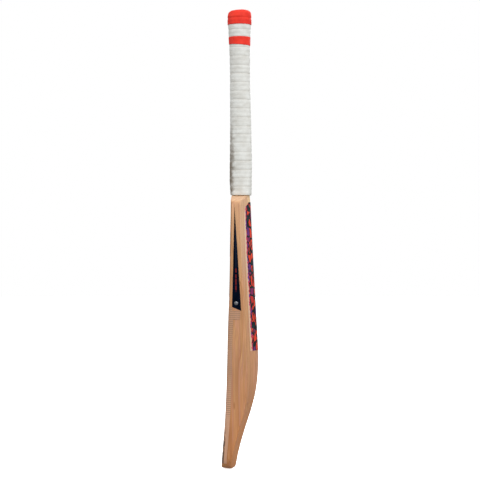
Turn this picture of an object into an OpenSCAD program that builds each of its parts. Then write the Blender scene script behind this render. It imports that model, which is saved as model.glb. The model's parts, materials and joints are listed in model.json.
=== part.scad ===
// Cricket bat: willow blade, spliced cane handle with rubber springs, twine, rubber grip,
// face sheet and labels. Heights in this file are measured up from the toe; the finished
// parts are lowered so that the origin is the middle of the hand grip. The face looks along -Y.

/* [Bat] */
// Overall length, from the toe to the rim of the grip
bat_length = 873; // [868:1:885]
// Height of the shoulders, where the blade meets the handle
shoulder_height = 518; // [514:1:520]
// Height of the middle of the hand grip, which is the origin
hand_height = 696; // [680:1:710]

/* [Blade] */
// Width of the blade
blade_width = 107; // [102:1:108]
// How far the middle of the face stands out past its edges
face_crown = 3.5; // [1:0.5:5]
// Slope of the shoulders
shoulder_slope = 15; // [12:1:20]
// Rounding of the shoulder corners, seen from the face
shoulder_radius = 12; // [8:1:16]
// Rounding of the toe corners, seen from the face
toe_corner_radius = 24; // [12:1:28]
// Rounding of the toe's bottom edges, at the face and the sides
toe_edge_radius = 5; // [2:0.5:6]
// Rounding of the toe's bottom edge at the back
toe_back_radius = 2.5; // [1:0.5:5]
// Slant of the toe's bottom, lower at the back
toe_slant = 5; // [0:1:16]
// Rounding between the face and the edges
face_edge_radius = 3; // [1.5:0.5:4]
// Rounding between the edges and the back
back_edge_radius = 2; // [1:0.5:3]
// How scooped the back is between the edges and the spine
back_scoop = 1.25; // [1:0.05:1.5]

/* [Splice] */
// Depth of the V splice below the shoulders
splice_depth = 150; // [120:5:160]
// Half width of the splice at its tip
splice_tip = 2.5; // [2:0.5:4]

/* [Handle] */
// Width of a middle cane
cane_width = 10.6; // [9:0.1:12]
// Thickness of a rubber spring
spring_thickness = 1.6; // [1:0.1:2.4]
// Distance between the middles of neighbouring springs
spring_pitch = 8.2; // [7:0.1:9]
// Thickness of the twine binding
twine_thickness = 0.8; // [0.5:0.1:1.2]

/* [Grip] */
// Wall of the rubber grip
grip_wall = 2.4; // [1.6:0.1:3]
// How far the end of the handle lies inside the rim
rim_depth = 4; // [3:0.5:6]
// Height of the red end band
end_band_height = 28; // [24:1:32]
// Thickness of the red end band
end_band_wall = 1.2; // [0.8:0.1:1.6]
// Height of the red ring band
ring_band_height = 16; // [12:1:20]
// Middle of the ring band, down from the rim
ring_band_drop = 59; // [54:1:64]
// Thickness of the red ring band
ring_band_wall = 0.8; // [0.5:0.1:1.2]

/* [Face sheet and labels] */
// Thickness of the face sheet
sheet_thickness = 0.35; // [0.2:0.05:0.5]
// How far the face sheet wraps onto each edge
sheet_wrap = 9; // [6:1:12]
// How far its top tab wraps onto each edge
sheet_tab = 22; // [15:1:24]
// Thickness of the labels
label_thickness = 0.3; // [0.2:0.05:0.4]
// Diameter of the round badge
badge_diameter = 7.2; // [5:0.2:9]

/* [Hidden] */
SLIPS = ["front", "inner_front", "inner_back", "back"];
COLUMNS = ["left", "middle", "right"];
SPRINGS = ["front", "middle", "back"];

WILLOW = "#C4946A";
CANE = "#D8B67C";
SPRING_RUBBER = "#26262A";
TWINE = "#D6CBB0";
GRIP_WHITE = "#DCDDD9";
GRIP_RED = "#F0402C";
SHEET = "#CFA487";
NAVY = "#10182E";
PURPLE = "#6A2B78";
SILVER = "#B9BBBD";

half_blade = blade_width / 2;
handle_top = bat_length - rim_depth;
splice_bottom = shoulder_height - splice_depth;
glue_gap = 0.06;            // glue under the sheet, the labels and the grip
round_steps = 32;           // points round the handle
bar = 400;                  // longer than anything a cutting bar meets

// Blade: height, face at its edges, thickness of the edges, rise of the spine above them
blade_stations = [
    [0, -29, 15.8, 4],
    [35, -26.5, 19.9, 5],
    [75, -23.2, 26.9, 6.3],
    [110, -20.9, 35.5, 6.8],
    [150, -19.2, 38.9, 11.6],
    [200, -17.8, 37.4, 15.7],
    [260, -16.3, 33.3, 15.9],
    [340, -13.7, 26.5, 15.5],
    [454, -11.4, 19, 14.7],
    [500, -11, 18.6, 12.6],
    [518, -10.9, 18.5, 11],
];

// Handle wood: height, half width, front, back
handle_stations = [
    [518, 16.8, -14.6, 18.6],
    [549, 16.9, -16.6, 19.5],
    [580, 16.6, -16.2, 19.7],
    [618, 16.2, -15.9, 19.1],
    [664, 15.7, -15.6, 18.1],
    [702, 15.5, -15.9, 17],
    [740, 15.7, -15.9, 15.9],
    [778, 16.4, -16.4, 15.9],
    [816, 17.2, -17.8, 16.1],
    [845, 18.2, -19.6, 17.8],
    [873, 18.6, -19.8, 17.6],
];

// ---- smooth curves through stations ----

function station_below(rows, z) =
    max([0, for (i = [0:len(rows) - 2]) if (z >= rows[i][0]) i]);

function station_slope(rows, column, i) =
    let (a = max(i - 1, 0), b = min(i + 1, len(rows) - 1))
    (rows[b][column] - rows[a][column]) / (rows[b][0] - rows[a][0]);

// Value of a column at height z, on a cubic curve through the stations
function at_height(rows, column, z) =
    let (
        i = station_below(rows, z),
        gap = rows[i + 1][0] - rows[i][0],
        u = (z - rows[i][0]) / gap,
        low_slope = station_slope(rows, column, i) * gap,
        high_slope = station_slope(rows, column, i + 1) * gap
    )
    rows[i][column] * (2 * u^3 - 3 * u^2 + 1) + low_slope * (u^3 - 2 * u^2 + u)
    + rows[i + 1][column] * (3 * u^2 - 2 * u^3) + high_slope * (u^3 - u^2);

// ---- blade surface ----

function face_edge_y(z) = at_height(blade_stations, 1, z);
function back_edge_y(z) = face_edge_y(z) + at_height(blade_stations, 2, z);
function spine_rise(z) = at_height(blade_stations, 3, z);

// How far a rounded edge of radius r has drawn back at distance d from its end
function drawn_back(r, d) = d >= r ? 0 : r - sqrt(r^2 - (r - d)^2);

shoulder_corner = shoulder_height - (half_blade - 18) * tan(shoulder_slope);
shoulder_tangent = shoulder_radius * tan((90 - shoulder_slope) / 2);
shoulder_start = shoulder_corner - shoulder_tangent;
shoulder_arc_top = shoulder_start + shoulder_radius * cos(shoulder_slope);

// Half width of the blade, seen from the face
function half_width(z) =
    z > shoulder_arc_top ? 18 + (shoulder_height - z) / tan(shoulder_slope)
    : z > shoulder_start
        ? half_blade - shoulder_radius + sqrt(shoulder_radius^2 - (z - shoulder_start)^2)
    : half_blade - drawn_back(toe_corner_radius, z);

function face_y(x, z) = face_edge_y(z) - face_crown * (1 - (x / half_blade)^2);

// 1 on the spine, 0 at the edge; the ridge is rounded and the flanks are scooped
function ridge(s) =
    let (soft = 0.12)
    (1 - (sqrt(s^2 + soft^2) - soft) / (sqrt(1 + soft^2) - soft))^back_scoop;
function back_y(x, z) = back_edge_y(z) + spine_rise(z) * ridge(min(abs(x) / half_blade, 1));

// Shares of the half width at which the back is drawn; the second is the back label's edge
back_shares = [0.88, 0.65, 0.48, 0.32, 0.2, 0.1, 0];

// Half outline of the blade at height z: face middle, corner, edge, corner, back middle
function half_section(z) =
    let (
        inset = drawn_back(toe_edge_radius, z),
        back_inset = drawn_back(toe_back_radius, z),
        w = half_width(z) - inset,
        rf = face_edge_radius,
        rb = back_edge_radius,
        front = face_edge_y(z) + inset,
        rear = back_edge_y(z) - back_inset
    )
    concat(
        [for (s = [0, 0.2, 0.4, 0.6, 0.8, 0.92]) [s * w, face_y(s * w, z) + inset]],
        [for (a = [-67.5:22.5:0]) [w - rf + rf * cos(a), front + rf + rf * sin(a)]],
        [for (a = [0:22.5:67.5]) [w - rb + rb * cos(a), rear - rb + rb * sin(a)]],
        [for (s = back_shares) [s * w, back_y(s * w, z) - back_inset]]
    );

// Height of a section point, with the toe's bottom slanted and its lowest line at zero
function slanted(z, y) =
    z + tan(toe_slant) * max(0, 1 - z / 40) * (back_y(0, 0) - toe_back_radius - y);

function mirrored_ring(half) =
    concat(half, [for (i = [len(half) - 2:-1:1]) [-half[i][0], half[i][1]]]);

function blade_ring(z) = [for (p = mirrored_ring(half_section(z))) [p[0], p[1], slanted(z, p[1])]];

blade_levels = concat(
    [for (a = [0:22.5:90]) toe_edge_radius * (1 - cos(a))],
    [7, 11, 16, 22],
    [for (z = [30:15:495]) z],
    [for (a = [0:15:75]) shoulder_start + shoulder_radius * sin(a)],
    [514, shoulder_height]
);

// ---- lofts ----

function loft_sides(rings, points, closed = false) = [
    for (i = [0:rings - (closed ? 1 : 2)], j = [0:points - 1])
        let (up = (i + 1) % rings, next = (j + 1) % points)
        each [
            [i * points + j, up * points + j, up * points + next],
            [i * points + j, up * points + next, i * points + next],
        ]
];

// End faces of a loft: one polygon each
function whole_caps(rings, points) =
    let (last = (rings - 1) * points)
    [[for (j = [0:points - 1]) j], [for (j = [points - 1:-1:0]) last + j]];

// End faces of a thin loft, whose ring runs out along one side and home along the other
function strip_caps(rings, points) =
    let (last = (rings - 1) * points, end = points - 1)
    [
        for (j = [0:points / 2 - 2]) each [
            [j, j + 1, end - j - 1, end - j],
            [last + end - j, last + end - j - 1, last + j + 1, last + j],
        ]
    ];

// A solid through a list of rings, from the lowest up
module loft(rings, thin = false) {
    count = len(rings[0]);
    polyhedron(
        points = [for (ring = rings) each ring],
        faces = concat(
            loft_sides(len(rings), count),
            thin ? strip_caps(len(rings), count) : whole_caps(len(rings), count)
        )
    );
}

// A thin sheet on a grid of surface points, which run the same way as a blade ring
function sheet_normal(row, j) =
    let (
        a = row[max(j - 1, 0)],
        b = row[min(j + 1, len(row) - 1)],
        along = [b[0] - a[0], b[1] - a[1]]
    )
    [along[1], -along[0], 0] / norm(along);

module skin(grid, thickness) {
    loft([
        for (row = grid) concat(
            [for (j = [0:len(row) - 1]) row[j] + sheet_normal(row, j) * (glue_gap + thickness)],
            [for (j = [len(row) - 1:-1:0]) row[j] + sheet_normal(row, j) * glue_gap]
        )
    ], thin = true);
}

// ---- handle surface ----

// A point of the unit square at angle a, for the square shape of the splice
function square_point(a) = [cos(a), sin(a)] / max(abs(cos(a)), abs(sin(a)));

// Outline of the handle at height z, moved out by grow: square at the shoulders, then oval
function handle_ring(z, grow = 0) =
    let (
        w = at_height(handle_stations, 1, z) + grow,
        front = at_height(handle_stations, 2, z) - grow,
        back = at_height(handle_stations, 3, z) + grow,
        oval = min(1, 0.45 + 0.55 * (z - shoulder_height) / 45)
    )
    [
        for (j = [0:round_steps - 1])
            let (
                a = -90 + j * 360 / round_steps,
                p = square_point(a) * (1 - oval) + [cos(a), sin(a)] * oval
            )
            [w * p[0], (back + front) / 2 + (back - front) / 2 * p[1], z]
    ];

splice_top_half = at_height(handle_stations, 1, shoulder_height);
function splice_half(z) =
    splice_tip + (splice_top_half - splice_tip) * (z - splice_bottom) / splice_depth;

// Outline of the splice at height z: flush with the face and the back of the blade
function splice_ring(z) = [
    for (j = [0:round_steps - 1])
        let (
            p = square_point(-90 + j * 360 / round_steps),
            x = splice_half(z) * p[0],
            side = (p[1] + 1) / 2
        )
        [x, face_y(x, z) * (1 - side) + back_y(x, z) * side, z]
];

ring_band_top = bat_length - ring_band_drop + ring_band_height / 2;
ring_band_bottom = ring_band_top - ring_band_height;
end_band_bottom = bat_length - end_band_height;
grip_bottom = shoulder_height + 1.5;
sleeve_top = handle_top - 7;  // the end band alone covers the wood above this
sleeve_levels = [
    grip_bottom, 530, 545, 565, 585, 610, 635, 660, 685, 710, 735, 760, 785,
    ring_band_bottom, ring_band_top, end_band_bottom, sleeve_top
];

// A band round the handle; each point of its outline is [height, how far outside the wood]
module wrapped(outline) {
    rings = [for (p = outline) handle_ring(p[0], p[1])];
    polyhedron(
        points = [for (ring = rings) each ring],
        faces = loft_sides(len(rings), round_steps, closed = true)
    );
}

// Outline of a sleeve over the handle, up its outer face and down its inner face
function sleeve(inner, outer) = concat(
    [for (z = sleeve_levels) [z, outer]],
    [for (i = [len(sleeve_levels) - 1:-1:0]) [sleeve_levels[i], inner]]
);

// ---- parts ----

module from_hand() {
    translate([0, 0, -hand_height]) children();
}

module handle_wood() {
    loft(concat(
        [for (i = [0:8]) splice_ring(splice_bottom + splice_depth * i / 8)],
        [for (z = concat(sleeve_levels, [handle_top])) handle_ring(z)]
    ));
}

module splice_wedge() {
    top = shoulder_height + 10;
    rotate([90, 0, 0])
        linear_extrude(height = bar, center = true)
            polygon([
                [-splice_tip, splice_bottom], [splice_tip, splice_bottom],
                [splice_half(top), top], [-splice_half(top), top]
            ]);
}

module blade() {
    color(WILLOW) from_hand()
        difference() {
            loft([for (z = blade_levels) blade_ring(z)]);
            splice_wedge();
        }
}

// Where a slip of cane starts and ends from front to back; the springs lie between the slips
function slip_front(i) = i == 0 ? -bar / 2 : (i - 2) * spring_pitch + spring_thickness / 2;
function slip_back(i) = i == 3 ? bar / 2 : (i - 1) * spring_pitch - spring_thickness / 2;

module bar_between(x_low, x_high, y_low, y_high) {
    translate([x_low, y_low, splice_bottom - 1])
        cube([x_high - x_low, y_high - y_low, handle_top - splice_bottom + 2]);
}

module cane(slip, column) {
    x_low = column == 0 ? -bar / 2 : (column - 1.5) * cane_width;
    x_high = column == 2 ? bar / 2 : (column - 0.5) * cane_width;
    color(CANE) from_hand()
        intersection() {
            handle_wood();
            bar_between(x_low, x_high, slip_front(slip), slip_back(slip));
        }
}

module spring(i) {
    middle = (i - 1) * spring_pitch;
    color(SPRING_RUBBER) from_hand()
        intersection() {
            handle_wood();
            bar_between(-bar / 2, bar / 2,
                middle - spring_thickness / 2, middle + spring_thickness / 2);
        }
}

module handle_twine() {
    color(TWINE) from_hand()
        wrapped(sleeve(glue_gap, twine_thickness));
}

grip_face = twine_thickness + grip_wall;

module grip() {
    color(GRIP_WHITE) from_hand()
        wrapped(sleeve(twine_thickness + glue_gap, grip_face));
}

// The end band covers the top of the grip and rolls over its rim, round the end of the wood
module grip_end_band() {
    outside = grip_face + end_band_wall;
    color(GRIP_RED) from_hand()
        wrapped([
            [end_band_bottom, grip_face + glue_gap],
            [end_band_bottom + 0.4, outside],
            [bat_length - 12, outside],
            [bat_length - 7.5, outside - 0.7],
            [bat_length - 4.2, outside - 2.4],
            [bat_length - 1.8, outside - 4.8],
            [bat_length - 0.4, outside - 7],
            [bat_length, outside - 8.2],
            [bat_length - 0.6, outside - 9.4],
            [bat_length - 2, outside - 10],
            [handle_top + glue_gap, outside - 9.8],
            [handle_top + glue_gap, glue_gap],
            [sleeve_top + glue_gap, glue_gap],
            [sleeve_top + glue_gap, grip_face + glue_gap],
        ]);
}

module grip_ring_band() {
    color(GRIP_RED) from_hand()
        wrapped([
            [ring_band_bottom, grip_face + glue_gap],
            [ring_band_bottom + 0.8, grip_face + ring_band_wall],
            [ring_band_top - 0.8, grip_face + ring_band_wall],
            [ring_band_top, grip_face + glue_gap],
        ]);
}

sheet_bottom = 12;
tab_bottom = 284;
tab_top = 300;
sheet_top = 307;

// The sheet's reach onto the edge at height z
function wrap_at(z) = z > tab_top ? 6.5 : z > tab_bottom ? sheet_tab : sheet_wrap;

function sheet_row(z) =
    let (
        half = half_section(z),
        side = concat(
            [for (i = [0:9]) half[i]],
            [[half_width(z), face_edge_y(z) + wrap_at(z)]]
        )
    )
    [for (p = concat([for (i = [10:-1:1]) [-side[i][0], side[i][1]]], side))
        [p[0], p[1], slanted(z, p[1])]];

module face_sheet() {
    levels = concat(
        [sheet_bottom, 16, 22],
        [for (z = [30:15:270]) z],
        [tab_bottom, tab_bottom + 0.5, tab_top, tab_top + 0.5, sheet_top]
    );
    color(SHEET) from_hand()
        skin([for (z = levels) sheet_row(z)], sheet_thickness);
}

back_label_bottom = 224;
back_label_top = 506;
back_label_shares = concat(
    [for (i = [1:6]) back_shares[i]],
    [for (i = [5:-1:1]) -back_shares[i]]
);

// The back label is widest low down and comes to a blunt point below the grip
module back_label() {
    levels = concat([back_label_bottom], [for (z = [240:15:495]) z], [back_label_top]);
    color(PURPLE) from_hand()
        skin([
            for (z = levels)
                let (half = half_blade * min(1, 0.3 + (back_label_top - z) / 20))
                [for (s = back_label_shares) [s * half, back_y(s * half, z), z]]
        ], label_thickness);
}

face_label_bottom = 403;
face_label_top = 500;

// The face label reaches the edges in its lower half and narrows towards the shoulders
module face_label() {
    wide_top = 448;
    color(NAVY) from_hand()
        skin([
            for (z = [face_label_bottom, 418, 433, wide_top, 465, 482, face_label_top])
                let (half = (half_blade - face_edge_radius) * (1 - max(0, z - wide_top) / 110))
                [for (s = [-1:0.2:1]) [s * half, face_y(s * half, z), z]]
        ], label_thickness);
}

// Narrow triangle on an edge, with its point towards the shoulder
module edge_label_shape() {
    polygon([[-3.7, 497], [-8.5, 308], [8.9, 300.6]]);
}

module on_edge(side) {
    mirror([side < 0 ? 1 : 0, 0, 0])
        translate([half_blade + glue_gap, 0, 0]) children();
}

module edge_label(side) {
    color(NAVY) from_hand()
        on_edge(side)
            rotate([90, 0, 90])
                linear_extrude(height = label_thickness) edge_label_shape();
}

module edge_badge(side) {
    radius = badge_diameter / 2;
    color(SILVER) from_hand()
        on_edge(side)
            translate([label_thickness, -0.7, 315])
                rotate([0, 90, 0])
                    rotate_extrude($fn = 48)
                        polygon([[0, 0], [radius, 0], [radius, 0.3], [radius * 0.8, 0.7],
                            [radius * 0.45, 0.95], [0, 1.05]]);
}

blade();
for (slip = [0:3], column = [0:2])
    cane(slip, column);
for (i = [0:2])
    spring(i);
handle_twine();
grip();
grip_end_band();
grip_ring_band();
face_sheet();
back_label();
face_label();
edge_label(1);  // edge_label_right
edge_label(-1);  // edge_label_left
edge_badge(1);  // edge_badge_right
edge_badge(-1);  // edge_badge_left
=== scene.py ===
"""A cricket bat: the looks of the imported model, in metres and in the model's own frame.

+Z runs up the handle, +X across the blade, the hitting face looks along -Y and the spine
along +Y. The origin is the middle of the hand grip.
"""

import json
import logging
import math
import random
from collections.abc import Callable, Iterable, Mapping, Sequence
from contextlib import contextmanager
from dataclasses import dataclass, field
from enum import Enum
from typing import Any, Iterator

import bmesh
import bpy
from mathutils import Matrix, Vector

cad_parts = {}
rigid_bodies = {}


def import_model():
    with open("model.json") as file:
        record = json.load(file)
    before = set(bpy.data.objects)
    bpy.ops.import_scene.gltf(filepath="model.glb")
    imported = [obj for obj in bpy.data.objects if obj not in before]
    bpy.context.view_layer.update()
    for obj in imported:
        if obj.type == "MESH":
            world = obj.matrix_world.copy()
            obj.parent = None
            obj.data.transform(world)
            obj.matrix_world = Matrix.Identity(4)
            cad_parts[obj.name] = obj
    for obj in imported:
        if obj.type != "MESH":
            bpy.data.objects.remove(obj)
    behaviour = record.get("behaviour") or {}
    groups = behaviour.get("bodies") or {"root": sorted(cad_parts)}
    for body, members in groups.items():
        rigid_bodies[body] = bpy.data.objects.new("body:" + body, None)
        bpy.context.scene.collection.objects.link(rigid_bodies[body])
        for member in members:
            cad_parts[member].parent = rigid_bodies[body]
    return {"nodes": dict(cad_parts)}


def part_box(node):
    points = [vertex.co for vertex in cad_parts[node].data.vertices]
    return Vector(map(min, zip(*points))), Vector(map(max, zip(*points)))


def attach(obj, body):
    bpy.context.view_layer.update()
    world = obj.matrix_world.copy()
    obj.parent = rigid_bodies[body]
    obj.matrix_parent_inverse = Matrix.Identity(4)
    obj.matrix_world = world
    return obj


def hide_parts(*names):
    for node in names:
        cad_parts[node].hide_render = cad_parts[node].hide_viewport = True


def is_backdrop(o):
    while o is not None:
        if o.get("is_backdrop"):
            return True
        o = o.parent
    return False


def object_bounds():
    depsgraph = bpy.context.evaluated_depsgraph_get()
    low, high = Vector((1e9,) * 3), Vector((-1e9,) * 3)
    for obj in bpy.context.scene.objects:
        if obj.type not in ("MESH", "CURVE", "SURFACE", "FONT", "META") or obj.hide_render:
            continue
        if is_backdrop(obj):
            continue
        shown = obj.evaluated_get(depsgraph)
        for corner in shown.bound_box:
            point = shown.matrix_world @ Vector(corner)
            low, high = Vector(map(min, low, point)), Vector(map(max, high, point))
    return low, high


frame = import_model()

log = logging.getLogger("cricket_bat")
Piece = bpy.types.Object
Socket = bpy.types.NodeSocket
Tree = bpy.types.NodeTree
Span = tuple[float, float]
Stops = tuple[tuple[float, str], ...]

BODY = "root"


# ---- units and colours


def mm(length: float) -> float:
    """Millimetres to metres."""
    return length / 1000.0


def per(length: float) -> float:
    """Scale of a pattern that repeats about once every so many millimetres."""
    return 1000.0 / length


def linear(code: str) -> tuple[float, float, float, float]:
    """Turns an sRGB hex colour into linear red, green, blue and alpha.

    Args:
        code: Colour such as "#C4946A".

    Returns:
        Four linear values, with alpha 1.
    """
    values = [int(code[i:i + 2], 16) / 255 for i in (1, 3, 5)]
    red, green, blue = (
        v / 12.92 if v <= 0.04045 else ((v + 0.055) / 1.055) ** 2.4 for v in values)
    return red, green, blue, 1.0


# ---- modelling bench


SAME_POINT = mm(0.002)      # points closer than this are one
OUTWARD = 0.4               # how squarely a skin's outer face looks outwards


class Part(Enum):
    """What a selection in edit mode is made of: Blender's mode and the mesh's own list."""

    POINTS = ("VERT", "verts")
    FACES = ("FACE", "faces")


def drop_selection() -> None:
    """Deselects every object, the model's own nodes among them."""
    for each in bpy.context.view_layer.objects:
        each.select_set(False)


def take_up(piece: Piece) -> None:
    """Makes a piece the only selected object and the active one."""
    drop_selection()
    piece.select_set(True)
    bpy.context.view_layer.objects.active = piece


@contextmanager
def editing(piece: Piece) -> Iterator[None]:
    """Edit mode on one piece, for as long as the with block lasts."""
    take_up(piece)
    bpy.ops.object.mode_set(mode="EDIT")
    try:
        yield
    finally:
        bpy.ops.object.mode_set(mode="OBJECT")


def pick(piece: Piece, part: Part, test: Callable[[Any], bool]) -> None:
    """Selects the points, edges or faces of the edited piece that pass a test.

    Args:
        piece: The piece in edit mode.
        part: What to select.
        test: Says whether one point, edge or face is wanted.
    """
    mode, group = part.value
    bpy.ops.mesh.select_mode(type=mode)
    bpy.ops.mesh.select_all(action="DESELECT")
    mesh = bmesh.from_edit_mesh(piece.data)
    for element in getattr(mesh, group):
        if test(element):
            element.select_set(True)
    mesh.select_flush_mode()
    bmesh.update_edit_mesh(piece.data)


def cut_level(heights: Iterable[float]) -> None:
    """Cuts the edited piece level at each height."""
    for height in heights:
        bpy.ops.mesh.select_all(action="SELECT")
        bpy.ops.mesh.bisect(plane_co=(0, 0, height), plane_no=(0, 0, 1))


def work(piece: Piece, kind: str, **settings: Any) -> None:
    """Adds a modifier to a piece and applies it.

    Args:
        piece: The piece to shape.
        kind: Blender's name of the modifier's type.
        settings: The modifier's own settings.
    """
    take_up(piece)
    modifier = piece.modifiers.new(kind, kind)
    for name, value in settings.items():
        setattr(modifier, name, value)
    bpy.ops.object.modifier_apply(modifier=modifier.name)


def name_new(name: str) -> Piece:
    """Names the primitive that was just added and puts its place into its mesh."""
    piece = bpy.context.active_object
    piece.name = piece.data.name = name
    bpy.ops.object.transform_apply(location=True, rotation=True, scale=True)
    return piece


def copy_node(node: str, name: str) -> Piece:
    """Copies a node of the model as a merged mesh of quads without its old materials.

    Args:
        node: The model's node.
        name: Name of the new piece.

    Returns:
        The new piece.
    """
    source = frame["nodes"][node]
    piece = bpy.data.objects.new(name, source.data.copy())
    piece.data.name = name
    bpy.context.scene.collection.objects.link(piece)
    piece.data.materials.clear()
    take_up(piece)
    bpy.ops.mesh.customdata_custom_splitnormals_clear()
    with editing(piece):
        bpy.ops.mesh.select_all(action="SELECT")
        bpy.ops.mesh.remove_doubles(threshold=SAME_POINT)
        bpy.ops.mesh.tris_convert_to_quads(
            face_threshold=math.radians(30), shape_threshold=math.radians(60))
    return piece


def peel(node: str, name: str, keep: Callable[[Vector, Vector], bool]) -> Piece:
    """Copies a thin skin of the model and keeps only its outer faces.

    Args:
        node: The model's node, a closed thin skin.
        name: Name of the new piece.
        keep: Says of a face's middle and normal whether it is on the outside.

    Returns:
        The open sheet.
    """
    piece = copy_node(node, name)
    with editing(piece):
        pick(piece, Part.FACES, lambda face: not keep(face.calc_center_median(), face.normal))
        bpy.ops.mesh.delete(type="FACE")
    return piece


def lump(piece: Piece, name: str, size: float, depth: float) -> None:
    """Gives a piece the soft lumps of stretched rubber.

    Args:
        piece: The piece to shape.
        name: Name of the lumps' texture.
        size: Width of a lump.
        depth: How far the lumps rise and fall.
    """
    clouds = bpy.data.textures.new(name, "CLOUDS")
    clouds.noise_scale = size
    work(piece, "DISPLACE", texture=clouds, strength=depth, mid_level=0.5)


def smooth(piece: Piece, angle: float) -> None:
    """Shades a piece smooth, except over edges sharper than the angle in degrees."""
    take_up(piece)
    bpy.ops.object.shade_smooth_by_angle(angle=math.radians(angle))


def hand_over(piece: Piece, node: str, material: bpy.types.Material) -> None:
    """Dresses a finished piece and puts it in its node's place.

    Args:
        piece: The finished piece.
        node: The node of the model that it stands for.
        material: What it is made of.
    """
    piece.data.materials.clear()
    piece.data.materials.append(material)
    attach(piece, BODY)
    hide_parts(node)
    log.info("%s: %d faces, for %s", piece.name, len(piece.data.polygons), node)


# ---- material bench


MIX = "ShaderNodeMix"
MATH = "ShaderNodeMath"
RANGE = "ShaderNodeMapRange"
RAMP = "ShaderNodeValToRGB"
VECTOR = "ShaderNodeVectorMath"
APART = "ShaderNodeSeparateXYZ"
NOISE = "ShaderNodeTexNoise"
CELLS = "ShaderNodeTexVoronoi"

VALUE, START, END, LEAST, MOST = range(5)           # a range's inputs
SHARE, BELOW, ABOVE = 0, 6, 7                       # a mix's inputs, with colours
SPREAD = {START: 0.3, END: 0.7}                     # where most of a noise lies
SMOOTH = {"interpolation_type": "SMOOTHSTEP"}
TIMES = {"operation": "MULTIPLY"}
TIMES_PLUS = {"operation": "MULTIPLY_ADD"}


def add(tree: Tree, kind: str, inputs: Mapping[Any, Any] | None = None, out: int | str = 0,
        stops: Sequence[tuple[float, str]] = (), **settings: Any) -> Socket | None:
    """Adds one node with its settings, values and links.

    Args:
        tree: Where the node goes.
        kind: The node's type.
        inputs: By input name or number, a value, a hex colour or the socket to link from.
        out: Which of the node's outputs is wanted, by name or number.
        stops: A colour ramp's stops, each a place and a hex colour.
        settings: The node's own settings.

    Returns:
        The output that is wanted, or None from a node without outputs.
    """
    node = tree.nodes.new(kind)
    for name, value in settings.items():
        setattr(node, name, value)
    for key, value in (inputs or {}).items():
        if isinstance(value, Socket):
            tree.links.new(value, node.inputs[key])
        else:
            node.inputs[key].default_value = linear(value) if isinstance(value, str) else value
    for i, (place, code) in enumerate(stops):
        ramp = node.color_ramp.elements
        stop = ramp[i] if i < 2 else ramp.new(place)
        stop.position, stop.color = place, linear(code)
    return node.outputs[out] if node.outputs else None


def stretched(tree: Tree, spot: Socket, across: float, along: float, kind: str = NOISE,
              out: str = "Fac") -> Socket:
    """A texture that is drawn out along the bat.

    Args:
        tree: The material's nodes.
        spot: A point of the surface, in metres.
        across: Size of its grains across the bat, in millimetres.
        along: Size of its grains along the bat, in millimetres.
        kind: The texture's node type.
        out: Which of its outputs is wanted.

    Returns:
        The texture's output.
    """
    scaled = add(tree, "ShaderNodeMapping", {
        "Vector": spot, "Scale": (per(across), per(across), per(along))})
    return add(tree, kind, {"Vector": scaled, "Scale": 1.0}, out)


def where(tree: Tree, most: Socket | float, *limits: tuple[Socket, float, float]) -> Socket:
    """A share of the surface that fades out smoothly where a limit isn't met.

    Args:
        tree: The material's nodes.
        most: The share where every limit is met.
        limits: Each a value, then the value that gives no share and the one that gives it all.

    Returns:
        The share.
    """
    share = most
    for value, start, end in limits:
        part = add(tree, RANGE, {VALUE: value, START: start, END: end}, **SMOOTH)
        share = add(tree, MATH, {0: share, 1: part}, **TIMES)
    return share


def tint(tree: Tree, below: Socket | str, above: Socket | str, most: Socket | float,
         *limits: tuple[Socket, float, float]) -> Socket:
    """Lays one colour over another where every limit is met.

    Args:
        tree: The material's nodes.
        below: The colour below.
        above: The colour that is laid on.
        most: How far it covers, from 0 to 1, where every limit is met.
        limits: As for where().

    Returns:
        The colour.
    """
    share = where(tree, most, *limits)
    return add(tree, MIX, {SHARE: share, BELOW: below, ABOVE: above}, 2, data_type="RGBA")


def ripple(tree: Tree, along: Socket, pitch: float) -> Socket:
    """A wave that rises from 0 to 0.5 and falls back once every pitch.

    Args:
        tree: The material's nodes.
        along: The distance that it runs along, in metres.
        pitch: Its length, in millimetres.

    Returns:
        The wave's height.
    """
    turns = add(tree, MATH, {0: along, 1: per(pitch)}, **TIMES)
    return add(tree, MATH, {0: turns, 1: 0.5}, operation="PINGPONG")


def shader(tree: Tree, colour: Socket, relief: Socket, depth: float,
           roughness: Socket | float, **inputs: Any) -> Socket:
    """The surface shader, with its relief as bump.

    Args:
        tree: The material's nodes.
        colour: The surface's own colour.
        relief: Height of the relief, from 0 to 1.
        depth: Depth of the relief, in metres.
        roughness: From 0, polished, to 1, matt.
        inputs: Other inputs of the shader, with _ for a space in their names.

    Returns:
        The shader's socket.
    """
    bump = add(tree, "ShaderNodeBump", {"Height": relief, "Distance": depth})
    named = {name.replace("_", " "): value for name, value in inputs.items()}
    return add(tree, "ShaderNodeBsdfPrincipled", {
        "Base Color": colour, "Roughness": roughness, "Normal": bump, **named})


@dataclass(frozen=True)
class Finish:
    """What a surface is made of and how it was made. The base of every finish."""

    name: str = "plain finish"

    def material(self) -> bpy.types.Material:
        """Makes the material, with its shader wired up by surface()."""
        material = bpy.data.materials.new(self.name)
        material.use_nodes = True
        tree = material.node_tree
        tree.nodes.clear()
        spot = add(tree, "ShaderNodeTexCoord", out="Object")
        add(tree, "ShaderNodeOutputMaterial", {"Surface": self.surface(tree, spot)})
        return material

    def surface(self, tree: Tree, spot: Socket) -> Socket:
        """Builds the shader.

        Args:
            tree: The material's nodes.
            spot: A point of the surface, in metres.

        Returns:
            The shader's socket.
        """
        raise NotImplementedError


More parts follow.
